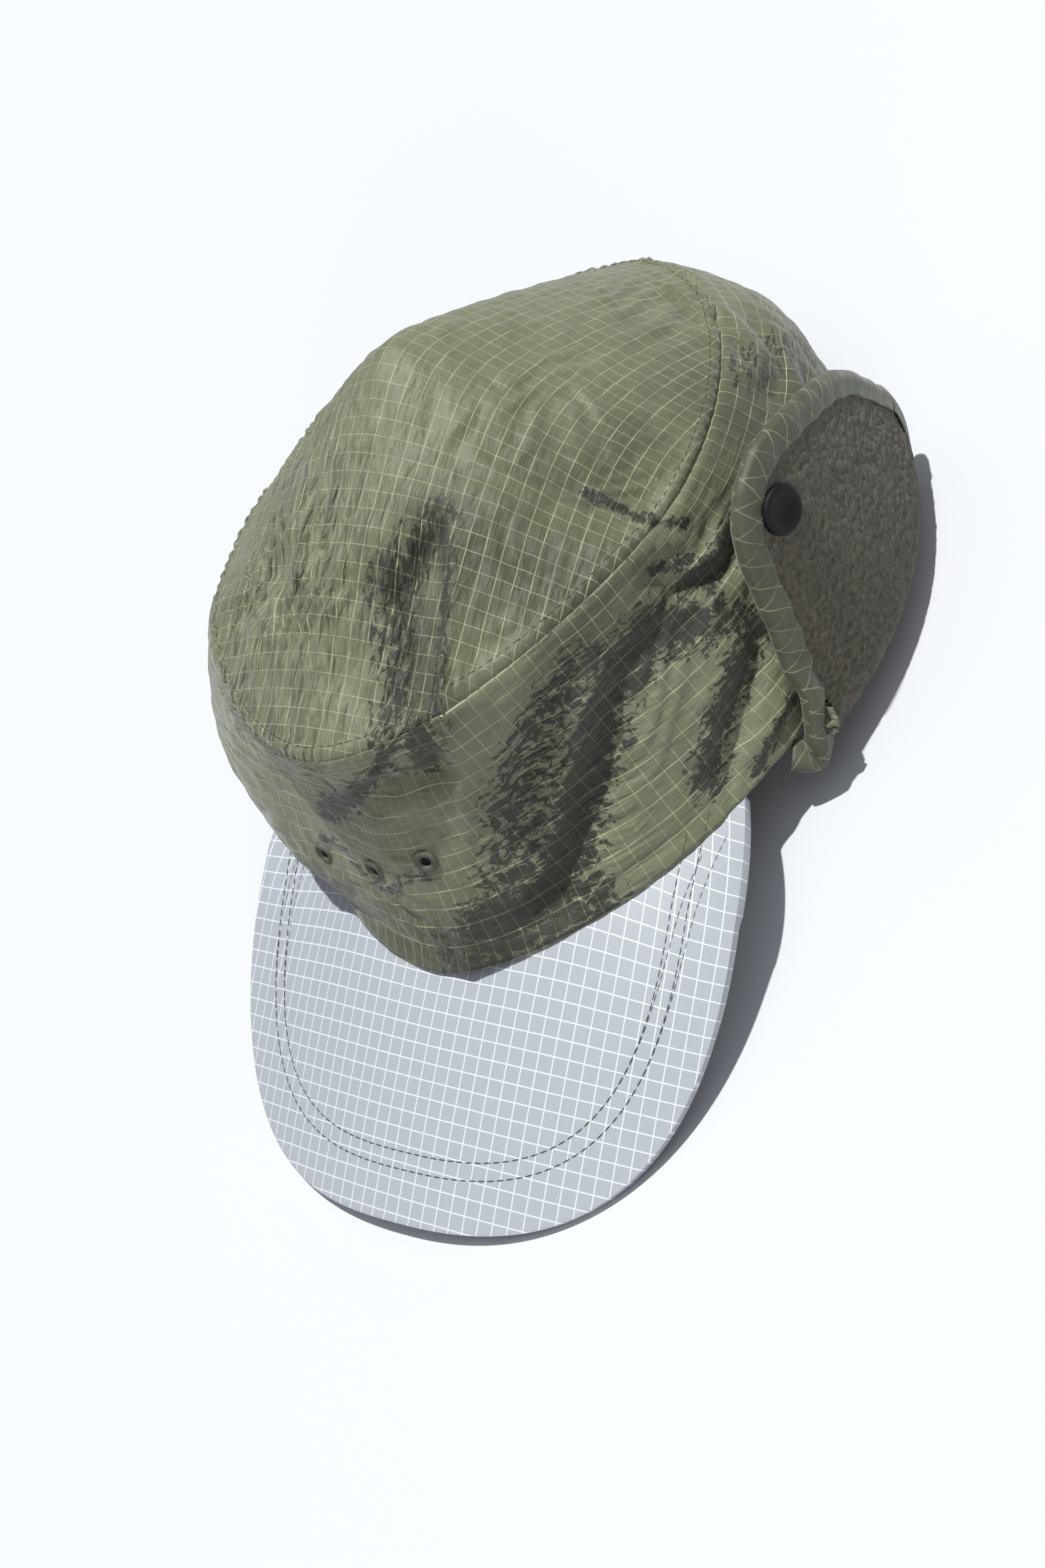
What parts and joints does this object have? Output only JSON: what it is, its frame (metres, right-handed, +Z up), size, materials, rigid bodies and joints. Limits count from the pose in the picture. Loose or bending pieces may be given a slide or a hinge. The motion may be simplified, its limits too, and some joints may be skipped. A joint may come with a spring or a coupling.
{
  "type": "earflap hat",
  "caption": "Soft ripstop cap with a curved peak, stitched eyelets and fleece-faced ear flaps folded up outside the band; the head hollow is open below.",
  "frame": {"origin": "centre of the bounding box's base, on the surface the hat rests on", "axes": "+X to the wearer's left, -Y to the front, where the peak points, +Z up from the surface the hat rests on"},
  "size_m": [0.1968, 0.2868, 0.1302],
  "materials": {
    "ripstop": "satin",
    "peak_cloth": "satin",
    "fleece": "matte",
    "thread": "matte",
    "snap": "satin"
  },
  "bodies": {
    "root": {"side_band": "ripstop", "top_panel": "ripstop", "peak": "peak_cloth", "eyelet_1": "thread", "eyelet_2": "thread", "eyelet_3": "thread", "left_flap_fleece": "fleece", "left_flap_cloth": "ripstop", "left_flap_binding": "ripstop", "left_snap": "snap", "right_flap_fleece": "fleece", "right_flap_cloth": "ripstop", "right_flap_binding": "ripstop", "right_snap": "snap"}
  },
  "joints": []
}
